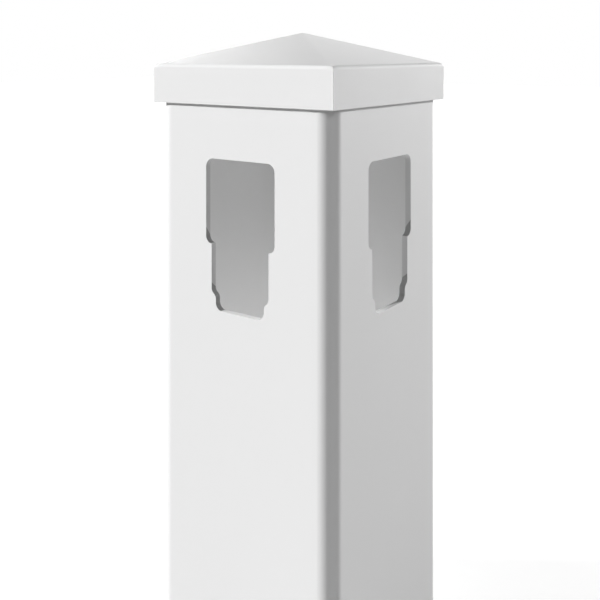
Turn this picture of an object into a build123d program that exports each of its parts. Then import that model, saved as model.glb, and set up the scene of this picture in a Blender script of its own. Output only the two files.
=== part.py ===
from build123d import *
from math import acos, atan, cos, degrees
import os

# The top of a white vinyl (PVC) fence corner post with its pyramid post cap.
#
# Two pieces: post_section, a square tube with a T-shaped rail pocket routed through two
# neighbouring walls, and post_cap, a one-piece hollow moulding that sleeves over the tube's end.
# Millimetres. The origin is the centre of the post's cut lower end and +Z runs up the post.
# The rail pockets face -Y (front) and +X (side).

INCH = 25.4

# Post: an extruded square tube
post_side = 5.0 * INCH
post_wall = 0.150 * INCH
post_corner_radius = 0.375 * INCH
post_length = 360.0

# Rail pocket: a wide head over a narrower stem, drawn in at the foot by an ogee
pocket_below_skirt = 1.25 * INCH
pocket_height = 3.5 * INCH
head_width = 2.0 * INCH
head_height = 50.3
head_corner_radius = 5.2
stem_width = 42.2
stem_height = 26.0
foot_width = 35.6
ogee_height = 6.2
foot_corner_radius = 4.6

# Cap: a skirt round the post and a four-sided hipped roof
cap_wall = 2.4
skirt_clearance = 0.3
skirt_height = 23.4
roof_rise = 20.0
hip_radius = 12.0
brow_radius = 2.5
skirt_corner_radius = 0.2
skirt_foot_break = 0.15
skirt_lead_in = 0.8

# Inside the cap: grip ribs that steady the skirt, stop ribs that sit on the post's end, and
# the stub left by the moulding gate
cap_overlap = 20.0
seat_gap = 0.05
rib_offset = 38.0
grip_radius = 1.2
grip_clearance = 0.05
grip_rise = 4.0
stop_thickness = 1.8
stop_reach = 7.0
stop_taper = 6.0
gate_radius = 2.0
gate_drop = 1.2

# Worked out from the sizes above
bore_side = post_side - 2 * post_wall
skirt_bore = post_side + 2 * skirt_clearance
cap_side = skirt_bore + 2 * cap_wall
skirt_bottom = post_length - cap_overlap
roof_slope = roof_rise / (cap_side / 2)
roof_thickness = cap_wall / cos(atan(roof_slope))  # measured straight up
ceiling_rise = roof_slope * skirt_bore / 2
ceiling_eaves = skirt_height + roof_slope * cap_wall - roof_thickness
shoulder_width = (head_width - stem_width) / 2


def pocket_outline():
    """The rail pocket in the XY plane, its centre line on Y and its top edge on X."""
    ogee_depth = (stem_width - foot_width) / 4  # sideways run of each of its two arcs
    ogee_radius = (ogee_depth**2 + (ogee_height / 2) ** 2) / (2 * ogee_depth)
    ogee_turn = degrees(acos(1 - ogee_depth / ogee_radius))
    down = (0, -1)

    top = Line((0, 0), (head_width / 2 - head_corner_radius, 0))
    head_corner = JernArc(top @ 1, (1, 0), head_corner_radius, -90)
    head_side = Line(head_corner @ 1, (head_width / 2, shoulder_width - head_height))
    shoulder = JernArc(head_side @ 1, down, shoulder_width, -90)
    stem_side = Line(shoulder @ 1, (stem_width / 2, -head_height - stem_height))
    ogee_out = JernArc(stem_side @ 1, down, ogee_radius, -ogee_turn)
    ogee_in = JernArc(ogee_out @ 1, ogee_out % 1, ogee_radius, ogee_turn)
    foot_side = Line(ogee_in @ 1, (foot_width / 2, foot_corner_radius - pocket_height))
    foot_corner = JernArc(foot_side @ 1, down, foot_corner_radius, -90)
    bottom = Line(foot_corner @ 1, (0, -pocket_height))

    half = Curve() + [top, head_corner, head_side, shoulder, stem_side]
    half += [ogee_out, ogee_in, foot_side, foot_corner, bottom]
    return make_face(half + mirror(half, Plane.YZ))


def pocket_cutter():
    """A prism through the front wall only, in the shape of the rail pocket."""
    clear_of_wall = 1.0
    front = Plane(
        origin=(0, -post_side / 2 - clear_of_wall, skirt_bottom - pocket_below_skirt),
        x_dir=(1, 0, 0),
        z_dir=(0, -1, 0),
    )
    return extrude(front * pocket_outline(), amount=-(post_wall + 2 * clear_of_wall))


def post_section():
    """The square tube with its front and side rail pockets."""
    outline = RectangleRounded(post_side, post_side, post_corner_radius)
    bore = RectangleRounded(bore_side, bore_side, post_corner_radius - post_wall)
    tube = extrude(outline - bore, amount=post_length)
    for quarter_turn in (0, 90):
        tube -= Rot(Z=quarter_turn) * pocket_cutter()
    return tube


def hipped_block(side, eaves, rise, hip):
    """A square block from Z = 0 up to its eaves, under a four-sided roof with rounded hips."""
    walls = Box(side, side, eaves, align=(Align.CENTER, Align.CENTER, Align.MIN))
    plan = Pos(0, 0, eaves) * Rectangle(side, side)
    block = (walls + loft([plan.face(), Vertex(0, 0, eaves + rise)])).clean()
    hips = block.edges().filter_by(lambda edge: edge.bounding_box().max.Z > eaves + rise / 2)
    return fillet(hips, hip)


def cap_outside():
    """The cap's outer shape as a solid block, with its skirt's foot on Z = 0."""
    block = hipped_block(cap_side, skirt_height, roof_rise, hip_radius)
    brows = block.edges().filter_by(
        lambda edge: edge.length > cap_side / 2 and abs(edge.center().Z - skirt_height) < 0.1
    )
    block = fillet(brows, brow_radius)
    plan = RectangleRounded(cap_side, cap_side, skirt_corner_radius)
    block &= extrude(plan, amount=skirt_height + roof_rise)
    return chamfer(block.faces().sort_by(Axis.Z)[0].edges(), skirt_foot_break)


def cap_inside():
    """The cap's hollow: the skirt's bore with a lead-in at its foot, under a hipped ceiling."""
    hollow = hipped_block(skirt_bore, ceiling_eaves, ceiling_rise, hip_radius - cap_wall)
    foot = Rectangle(skirt_bore + 2 * skirt_lead_in, skirt_bore + 2 * skirt_lead_in)
    throat = Pos(0, 0, skirt_lead_in) * Rectangle(skirt_bore, skirt_bore)
    return hollow + loft([foot.face(), throat.face()])


def ceiling_height(from_axis):
    """Height of the roof's underside above the skirt's foot, that far out from the post's axis."""
    return ceiling_eaves + roof_slope * (skirt_bore / 2 - from_axis)


def grip_rib():
    """A half-round upright rib on the +X wall of the skirt, just clear of the post."""
    axis_at = post_side / 2 + grip_clearance + grip_radius
    height = cap_overlap - grip_rise
    foot_centre = (Align.CENTER, Align.CENTER, Align.MIN)
    return Pos(axis_at, 0, grip_rise) * Cylinder(grip_radius, height, align=foot_centre)


def stop_rib():
    """A gusset between the +X wall and the roof; its level underside sits on the post's end."""
    buried = cap_wall / 2  # how far it runs into the wall and the roof
    wall_at = skirt_bore / 2 + buried
    nose_at = skirt_bore / 2 - stop_reach
    tip_at = nose_at - stop_taper
    seat = cap_overlap + seat_gap
    profile = Polyline(
        (wall_at, 0, seat),
        (nose_at, 0, seat),
        (tip_at, 0, ceiling_height(tip_at)),
        (tip_at, 0, ceiling_height(tip_at) + buried),
        (wall_at, 0, ceiling_height(wall_at) + buried),
        close=True,
    )
    return extrude(make_face(profile), amount=stop_thickness / 2, both=True)


def gate_stub():
    """The trimmed stub of the moulding gate, under the middle of the roof."""
    buried = cap_wall / 2
    hanging = (Align.CENTER, Align.CENTER, Align.MAX)
    stub = Cylinder(gate_radius, gate_drop + buried, align=hanging)
    return Pos(0, 0, ceiling_height(0) + buried) * stub


def post_cap():
    """The cap as it sits on the post."""
    cap = cap_outside() - cap_inside()
    for quarter_turn in range(4):
        for along_wall in (-rib_offset, rib_offset):
            place = Rot(Z=90 * quarter_turn) * Pos(0, along_wall, 0)
            cap += place * grip_rib()
            cap += place * stop_rib()
    cap += gate_stub()
    return Pos(0, 0, skirt_bottom) * cap


os.makedirs("parts", exist_ok=True)
export_step(post_section(), "parts/post_section.step")
export_step(post_cap(), "parts/post_cap.step")
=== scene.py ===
from math import cos, pi, radians, sin

import bpy
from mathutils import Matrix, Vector


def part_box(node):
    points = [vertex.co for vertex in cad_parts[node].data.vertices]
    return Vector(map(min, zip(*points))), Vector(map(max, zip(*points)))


# The looks of a white vinyl corner post with its pyramid cap. Both pieces keep their CAD shape,
# so this script gives them their materials, and sets up the floor, the camera and the lights.

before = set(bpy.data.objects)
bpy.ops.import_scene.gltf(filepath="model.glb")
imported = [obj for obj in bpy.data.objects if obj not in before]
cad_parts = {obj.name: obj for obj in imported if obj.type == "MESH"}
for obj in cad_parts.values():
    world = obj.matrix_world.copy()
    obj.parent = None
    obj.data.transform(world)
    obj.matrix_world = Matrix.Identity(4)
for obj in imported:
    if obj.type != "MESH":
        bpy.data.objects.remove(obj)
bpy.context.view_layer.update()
scene = bpy.context.scene

MM = 0.001
cap_low, cap_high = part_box("post_cap")
post_low, post_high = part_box("post_section")
cap_side = cap_high.x - cap_low.x
post_side = post_high.x - post_low.x
skirt_foot = cap_low.z

vinyl_white = 0.8
vinyl_shine = 0.25
noise_spread = (0.3, 0.7)  # the range that holds nearly all of a noise's values

# The rail pockets as the CAD has them: a wide head on rounded shoulders, a stem and a narrow foot
post_wall = 3.81 * MM
head_width = 50.8 * MM
head_height = 50.3 * MM
stem_width = 42.2 * MM
stem_height = 26.0 * MM
foot_width = 35.6 * MM
pocket_height = 88.9 * MM
pocket_below_skirt = 31.75 * MM
pocket_top = skirt_foot - pocket_below_skirt
pocket_middle = pocket_top - pocket_height / 2
shoulder_top = pocket_top - head_height + (head_width - stem_width) / 2
foot_top = pocket_top - head_height - stem_height
slack = 0.2 * MM  # keeps the pockets' edges off the limits that pick them out


# ---------------------------------------------------------------- node helpers


def new_node(tree, kind, inputs=None, **settings):
    """A node of that kind, with its properties set and its inputs given values or links."""
    node = tree.nodes.new(kind)
    for name, value in settings.items():
        setattr(node, name, value)
    for key, value in (inputs or {}).items():
        if isinstance(value, bpy.types.NodeSocket):
            tree.links.new(value, node.inputs[key])
        else:
            node.inputs[key].default_value = value
    return node


def maths(tree, operation, *values):
    """The result of a Math node on numbers or sockets."""
    return new_node(tree, "ShaderNodeMath", dict(enumerate(values)), operation=operation).outputs[0]


def vector_maths(tree, operation, *values):
    """The result of a Vector Math node on vectors or sockets."""
    node = new_node(tree, "ShaderNodeVectorMath", dict(enumerate(values)), operation=operation)
    return node.outputs["Vector"]


def split(tree, vector):
    """A vector's X, Y and Z."""
    return new_node(tree, "ShaderNodeSeparateXYZ", {"Vector": vector}).outputs


def map_range(tree, value, low, high, to_low, to_high):
    """value from low..high carried to to_low..to_high, and held inside those limits."""
    inputs = {"Value": value, "From Min": low, "From Max": high, "To Min": to_low, "To Max": to_high}
    return new_node(tree, "ShaderNodeMapRange", inputs).outputs["Result"]


def noise(tree, place, per_metre, detail):
    """Noise with that many features to the metre along X, Y and Z, as a value around a half."""
    stretched = vector_maths(tree, "MULTIPLY", place, per_metre)
    inputs = {"Vector": stretched, "Scale": 1.0, "Detail": detail}
    return new_node(tree, "ShaderNodeTexNoise", inputs).outputs["Fac"]


def bump(tree, height, depth, normal=None):
    """normal tilted by a height from 0 to 1 that stands for a relief of that depth in metres."""
    inputs = {"Height": height, "Distance": depth}
    if normal:
        inputs["Normal"] = normal
    return new_node(tree, "ShaderNodeBump", inputs).outputs["Normal"]


# ---------------------------------------------------------------- the two vinyls


class Surface:
    """A material under construction, with the sockets that say where the surface is.

    out is the distance from the post's axis, square to the nearest side. along is the distance
    from the middle of that side. face_up is 1 where a face looks straight up, and -1 straight down.
    """

    def __init__(self, name):
        self.material = bpy.data.materials.new(name)
        self.material.use_nodes = True
        self.tree = self.material.node_tree
        self.shader = self.tree.nodes["Principled BSDF"]
        self.place = new_node(self.tree, "ShaderNodeTexCoord").outputs["Object"]
        self.x, self.y, self.z = split(self.tree, self.place)
        offsets = [maths(self.tree, "ABSOLUTE", offset) for offset in (self.x, self.y)]
        self.out = maths(self.tree, "MAXIMUM", *offsets)
        self.along = maths(self.tree, "MINIMUM", *offsets)
        geometry = new_node(self.tree, "ShaderNodeNewGeometry")
        self.smooth_normal = geometry.outputs["Normal"]
        self.face_up = split(self.tree, geometry.outputs["True Normal"])[2]

    def finish(self, tone, roughness, normal):
        """Links tone, roughness and normal to the shader. The tone is never quite even."""
        darkest_patch = 0.992
        cloud = noise(self.tree, self.place, (9.0, 9.0, 6.0), detail=3.0)
        evenness = map_range(self.tree, cloud, *noise_spread, darkest_patch, 1.0)
        grey = maths(self.tree, "MULTIPLY", tone, evenness)
        channels = {"Red": grey, "Green": grey, "Blue": grey}
        colour = new_node(self.tree, "ShaderNodeCombineColor", channels).outputs["Color"]
        self.tree.links.new(colour, self.shader.inputs["Base Color"])
        self.tree.links.new(roughness, self.shader.inputs["Roughness"])
        self.tree.links.new(normal, self.shader.inputs["Normal"])
        self.shader.inputs["Specular IOR Level"].default_value = vinyl_shine
        return self.material


def routed_faces(surface):
    """1 on the edges of the rail pockets, which lie inside the walls, and 0 everywhere else."""
    tree = surface.tree
    inset = 0.02 * post_wall  # leaves out the wall's own two faces
    in_wall = maths(tree, "COMPARE", surface.out, (post_side - post_wall) / 2, post_wall / 2 - inset)
    in_width = maths(tree, "LESS_THAN", surface.along, head_width / 2 + slack)
    in_height = maths(tree, "COMPARE", surface.z, pocket_middle, pocket_height / 2 + slack)
    return maths(tree, "MULTIPLY", maths(tree, "MULTIPLY", in_wall, in_width), in_height)


def ledge_shade(surface, depth):
    """1 where shade is painted, on and just above a pocket's ledges, which are its shoulders and all of
    its narrow foot.

    The painted shade starts above a ledge, on a slant that is highest at the post's outer face.
    """
    tree = surface.tree
    shoulder_slant, foot_slant = 5.3 * MM, 3.3 * MM
    shoulder_edge = maths(tree, "MULTIPLY_ADD", depth, shoulder_slant, shoulder_top)
    foot_edge = maths(tree, "MULTIPLY_ADD", depth, foot_slant, foot_top)
    beside_stem = maths(tree, "GREATER_THAN", surface.along, stem_width / 2 + slack)
    on_shoulder = maths(tree, "MULTIPLY", beside_stem, maths(tree, "LESS_THAN", surface.z, shoulder_edge))
    in_foot = maths(tree, "LESS_THAN", surface.z, foot_edge)
    return maths(tree, "MAXIMUM", on_shoulder, in_foot)


def sill_tone_and_painted_shade(surface, depth, dark):
    """The tone of a pocket's level sill: pale, but greyer in the side pocket by painted shade.

    The side pocket's sill also has a painted shadow, as dark as a ledge, in a wedge at its back,
    which is longest at the post's inside.
    """
    tree = surface.tree
    # The side pocket's sill is greyed by painted shade, and its wedge is a painted shadow.
    front_tone, side_painted_shade = 0.78, 0.6
    shadow_wedge_length = 18.0 * MM
    on_side = maths(tree, "GREATER_THAN", surface.x, surface.along)
    shadow_wedge_start = maths(tree, "MULTIPLY_ADD", depth, shadow_wedge_length, foot_width / 2 - shadow_wedge_length)
    in_painted_shadow = maths(tree, "MULTIPLY", on_side, maths(tree, "GREATER_THAN", surface.y, shadow_wedge_start))
    tone = maths(tree, "MULTIPLY_ADD", on_side, side_painted_shade - front_tone, front_tone)
    return maths(tree, "MULTIPLY_ADD", in_painted_shadow, dark - side_painted_shade, tone)


def pocket_edge_painted_shading(surface):
    """The tone of a pocket's edges, with light and shade painted in: painted light underneath, painted
    shade at the sides, and the darkest painted shade on the ledges.
    """
    tree = surface.tree
    # Painted light on the undersides, painted shade on the jambs, and darker painted shade on the ledges.
    underside_painted_light, jamb_painted_shade, ledge_painted_shade = 0.97, 0.64, 0.36
    tilted = 0.2  # how far face_up is from 0 where an edge fully counts as a ledge or an underside
    nearly_level, level = 0.97, 0.99  # face_up where a ledge starts to count as the sill, and fully does

    depth = map_range(tree, surface.out, post_side / 2 - post_wall, post_side / 2, 0.0, 1.0)
    shade = maths(tree, "MULTIPLY", ledge_shade(surface, depth), tilted)
    facing_up = maths(tree, "MAXIMUM", surface.face_up, shade)
    tone = map_range(tree, facing_up, -tilted, 0.0, underside_painted_light, jamb_painted_shade)
    painted_darkening = map_range(tree, facing_up, 0.0, tilted, 0.0, ledge_painted_shade - jamb_painted_shade)
    tone = maths(tree, "ADD", tone, painted_darkening)
    on_sill = map_range(tree, facing_up, nearly_level, level, 0.0, 1.0)
    painted_shading_gain = maths(tree, "SUBTRACT", sill_tone_and_painted_shade(surface, depth, ledge_painted_shade), ledge_painted_shade)
    return maths(tree, "MULTIPLY_ADD", on_sill, painted_shading_gain, tone)


def extruded_vinyl():
    """The post: drawn lines along its length, duller edges where it was routed and sawn, and painted light
    and shade on the pocket edges.
    """
    surface = Surface("post_vinyl")
    tree = surface.tree
    wave_depth, line_depth, mark_depth = 0.1 * MM, 0.008 * MM, 0.04 * MM
    smoothest, roughest, roughness_of_cut = 0.6, 0.7, 0.2

    routed = routed_faces(surface)
    sawn = maths(tree, "GREATER_THAN", maths(tree, "ABSOLUTE", surface.face_up), 0.99)
    cut = maths(tree, "MAXIMUM", sawn, routed)
    skin = maths(tree, "SUBTRACT", 1.0, cut)

    drawn_lines = noise(tree, surface.place, (420.0, 420.0, 1.5), detail=3.0)
    waviness = noise(tree, surface.place, (14.0, 14.0, 5.0), detail=2.0)
    tool_marks = noise(tree, surface.place, (900.0, 900.0, 2500.0), detail=4.0)
    normal = bump(tree, waviness, wave_depth)
    normal = bump(tree, maths(tree, "MULTIPLY", drawn_lines, skin), line_depth, normal)
    normal = bump(tree, maths(tree, "MULTIPLY", tool_marks, cut), mark_depth, normal)

    streaks = map_range(tree, drawn_lines, *noise_spread, smoothest, roughest)
    roughness = maths(tree, "MULTIPLY_ADD", cut, roughness_of_cut, streaks)
    # The pocket edges take painted light and shade in place of the plain white.
    painted_shading_gain = maths(tree, "SUBTRACT", pocket_edge_painted_shading(surface), vinyl_white)
    tone = maths(tree, "MULTIPLY_ADD", routed, painted_shading_gain, vinyl_white)
    return surface.finish(tone, roughness, normal)


def soft_roof_normal(surface):
    """The surface's normal, bent on the roof so that its four facets run softly into one another."""
    tree = surface.tree
    roof_slope = 0.3  # the four facets' rise over their run, near enough
    corner_lean = roof_slope / 2  # of the averaged normal at the roof's corners, along X and along Y
    roof_face_up = 0.93  # the least face_up that counts as roof
    softness = 0.95

    lean_per_metre = corner_lean / (cap_side / 2)
    lean = vector_maths(tree, "MULTIPLY", surface.place, (lean_per_metre, lean_per_metre, 0.0))
    crown = vector_maths(tree, "NORMALIZE", vector_maths(tree, "ADD", lean, (0.0, 0.0, 1.0)))
    on_roof = maths(tree, "GREATER_THAN", surface.face_up, roof_face_up)
    share = maths(tree, "MULTIPLY", on_roof, softness)
    toward_crown = vector_maths(tree, "SUBTRACT", crown, surface.smooth_normal)
    bend = new_node(tree, "ShaderNodeVectorMath", {0: toward_crown, "Scale": share}, operation="SCALE")
    bent = vector_maths(tree, "ADD", surface.smooth_normal, bend.outputs["Vector"])
    return vector_maths(tree, "NORMALIZE", bent)


def moulded_vinyl():
    """The cap: a fine mould texture, a softly shaded roof and a painted highlight on its upright corners.
    """
    surface = Surface("cap_vinyl")
    tree = surface.tree
    wave_depth, texture_depth = 0.04 * MM, 0.004 * MM
    smoothest, roughest = 0.61, 0.69
    grain = 0.004
    # A painted highlight on the cap's upright corners, which the lamps leave dark.
    corner_painted_light = 0.92
    corner_light_reach = 1.2 * MM

    texture = noise(tree, surface.place, (1100.0, 1100.0, 1100.0), detail=2.0)
    waviness = noise(tree, surface.place, (22.0, 22.0, 22.0), detail=2.0)
    normal = bump(tree, waviness, wave_depth, soft_roof_normal(surface))
    normal = bump(tree, texture, texture_depth, normal)

    roughness = map_range(tree, waviness, *noise_spread, smoothest, roughest)
    tone = map_range(tree, texture, 0.2, 0.8, vinyl_white - grain, vinyl_white + grain)
    corner = cap_side / 2
    painted_corner_light = map_range(tree, surface.along, corner - corner_light_reach, corner, 0.0, corner_painted_light - vinyl_white)
    return surface.finish(maths(tree, "ADD", tone, painted_corner_light), roughness, normal)


def paint(node, material):
    """Gives a CAD node its material in place of the one it was loaded with."""
    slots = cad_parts[node].data.materials
    slots.clear()
    slots.append(material)


paint("post_section", extruded_vinyl())
paint("post_cap", moulded_vinyl())


# ---------------------------------------------------------------- floor and surroundings


def camera_ray(tree):
    """1 where the camera looks straight at a surface, and 0 where it only lights another."""
    return new_node(tree, "ShaderNodeLightPath").outputs["Is Camera Ray"]


def studio_floor():
    """A pale floor that runs out to pure white, with only a faint shadow round the post."""
    reach = 8.0
    grey = 0.43
    glow_near, glow_far = 0.62, 1.0  # the glow that only the camera sees
    near, far = 0.2, 1.0  # the distances from the post at which it has those strengths

    mesh = bpy.data.meshes.new("floor")
    corners = [(-reach, -reach, 0), (reach, -reach, 0), (reach, reach, 0), (-reach, reach, 0)]
    mesh.from_pydata(corners, [], [(0, 1, 2, 3)])
    floor = bpy.data.objects.new("floor", mesh)
    scene.collection.objects.link(floor)

    material = bpy.data.materials.new("floor_pale")
    material.use_nodes = True
    tree = material.node_tree
    shader = tree.nodes["Principled BSDF"]
    shader.inputs["Base Color"].default_value = (grey, grey, grey, 1)
    shader.inputs["Roughness"].default_value = 1.0
    shader.inputs["Specular IOR Level"].default_value = 0.0
    shader.inputs["Emission Color"].default_value = (1, 1, 1, 1)
    place = new_node(tree, "ShaderNodeTexCoord").outputs["Object"]
    away = new_node(tree, "ShaderNodeVectorMath", {0: place}, operation="LENGTH").outputs["Value"]
    glow = maths(tree, "MULTIPLY", map_range(tree, away, near, far, glow_near, glow_far), camera_ray(tree))
    tree.links.new(glow, shader.inputs["Emission Strength"])
    mesh.materials.append(material)


def studio_surroundings():
    """White to the camera. To the object, a ring of soft light high up all round."""
    ring_foot, ring_top = 0.4, 0.7  # as the upright part of a unit direction
    ring_glow, zenith_glow = 1.02, 0.06

    world = bpy.data.worlds.new("studio")
    world.use_nodes = True
    scene.world = world
    tree = world.node_tree
    upright = split(tree, new_node(tree, "ShaderNodeTexCoord").outputs["Generated"])[2]
    from_foot = maths(tree, "MULTIPLY", maths(tree, "GREATER_THAN", upright, ring_foot), ring_glow)
    past_ring = maths(tree, "GREATER_THAN", upright, ring_top)
    glow = maths(tree, "MULTIPLY_ADD", past_ring, zenith_glow - ring_glow, from_foot)
    background = tree.nodes["Background"]
    background.inputs["Color"].default_value = (1, 1, 1, 1)
    tree.links.new(maths(tree, "MAXIMUM", glow, camera_ray(tree)), background.inputs["Strength"])


studio_floor()
studio_surroundings()


# ---------------------------------------------------------------- camera and lights

# The camera stands off the post's near corner.
camera_azimuth = radians(35.338)
toward_camera = Vector((sin(camera_azimuth), -cos(camera_azimuth), 0))
camera_right = Vector((cos(camera_azimuth), sin(camera_azimuth), 0))


def drive(driver, expression, sources):
    """Has a driver work its property out from others, given as {name: (object, path)}."""
    driver.type = "SCRIPTED"
    for name, (source, path) in sources.items():
        variable = driver.variables.new()
        variable.name = name
        variable.targets[0].id = source
        variable.targets[0].data_path = path
    driver.expression = expression


def level_camera():
    """A level camera with its lens shifted down, so that the post's upright lines stay parallel.

    The shift belongs to this view alone. Views from other angles aim the camera itself and
    switch its rotation to a quaternion, which is mode 0, so the shift follows the mode.
    """
    distance = 4.0974 * cap_side
    sideways = 0.0138 * cap_side
    height = 0.2423 * cap_side
    shift = -0.4166

    data = bpy.data.cameras.new("camera")
    data.lens = 51.19
    data.sensor_width = 36.0
    eye = bpy.data.objects.new("camera", data)
    scene.collection.objects.link(eye)
    level = Vector((0, 0, skirt_foot + height))
    eye.location = toward_camera * distance - camera_right * sideways + level
    eye.rotation_mode = "XYZ"
    eye.rotation_euler = (pi / 2, 0, camera_azimuth)
    scene.camera = eye
    drive(data.driver_add("shift_y").driver, f"{shift} * mode", {"mode": (eye, "rotation_mode")})
    return eye


def light_rig(eye):
    """What the lamps hang from. It steps round the post with the camera, a quarter at a time.

    The post is square, so its faces and corners are lit alike in views from all four quarters.
    """
    first_quarter = radians(-100)  # where the quarter that holds the first view begins, from +X
    rig = bpy.data.objects.new("light_rig", None)
    scene.collection.objects.link(rig)
    rig.location = (0, 0, skirt_foot)
    turn = rig.driver_add("rotation_euler", 2).driver
    quarters = f"floor((atan2(y, x) - {first_quarter}) / {pi / 2}) * {pi / 2}"
    drive(turn, quarters, {"x": (eye, "location[0]"), "y": (eye, "location[1]")})
    return rig


def new_lamp(name, kind, **settings):
    """A lamp with its properties set, which the camera doesn't see."""
    data = bpy.data.lights.new(name, kind)
    for setting, value in settings.items():
        setattr(data, setting, value)
    lamp = bpy.data.objects.new(name, data)
    scene.collection.objects.link(lamp)
    lamp.visible_camera = False
    return lamp


def hang_lamp(rig, lamp, turn, elevation, distance=3.0):
    """Aims a lamp at the cap. turn is in degrees, from the camera's side round to its right.

    The distance makes no difference to a sun.
    """
    around, up = radians(turn), radians(elevation)
    level = toward_camera * cos(around) + camera_right * sin(around)
    way = level * cos(up) + Vector((0, 0, sin(up)))
    lamp.parent = rig
    lamp.location = way * distance
    lamp.rotation_euler = way.to_track_quat("Z", "Y").to_euler()


def bore_lamp(name, height, tilt, **settings):
    """A square lamp inside the hollow post: the light that finds its way in from its ends."""
    lamp = new_lamp(name, "AREA", spread=radians(115), **settings)
    lamp.location = (0, 0, height)
    lamp.rotation_euler = (tilt, 0, 0)


rig = light_rig(level_camera())
key = new_lamp("key", "SUN", energy=3.82, angle=radians(4))
behind = new_lamp("behind", "SUN", energy=0.6, angle=radians(15))
side = new_lamp("side", "AREA", energy=67.3, size=0.15)
hang_lamp(rig, key, turn=-90, elevation=20)
hang_lamp(rig, behind, turn=-165, elevation=15)
hang_lamp(rig, side, turn=126, elevation=10, distance=2.6)
bore_lamp("bore_foot", height=post_low.z + 20 * MM, tilt=pi, energy=0.088, size=110 * MM)
bore_lamp("bore_head", height=post_high.z - 8 * MM, tilt=0, energy=0.007, size=90 * MM)

scene.view_settings.view_transform = "Standard"
